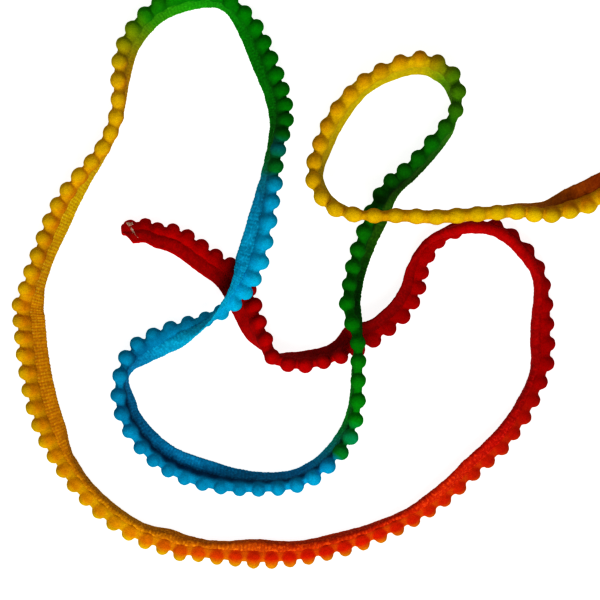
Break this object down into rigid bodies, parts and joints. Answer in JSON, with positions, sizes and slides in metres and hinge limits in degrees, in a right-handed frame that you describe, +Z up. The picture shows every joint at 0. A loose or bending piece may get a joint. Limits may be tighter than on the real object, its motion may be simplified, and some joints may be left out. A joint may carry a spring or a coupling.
{
  "type": "loose length of rainbow pompom trim",
  "caption": "Loose length of rainbow mini pompom trim, a ribbed tape with a velvety pompom edge, lying in loose curves that cross each other.",
  "frame": {"origin": "middle of the outline's bounding box, on the surface that the trim lies on", "axes": "+Z up from that surface; +X the longest way across the lying trim, towards the end that runs out to one side; +Y across, towards the top of the two tall loops"},
  "size_m": [0.2012, 0.1947, 0.0208],
  "materials": {
    "tape_cloth": "ribbed woven tape, matt, dyed red, orange, yellow, green, blue, green and yellow in turn along its length",
    "pompom_velvet": "soft matt velvet pile, dyed like the tape"
  },
  "bodies": {
    "root": {"tape": "tape_cloth", "pompom_edge": "pompom_velvet"}
  },
  "joints": []
}
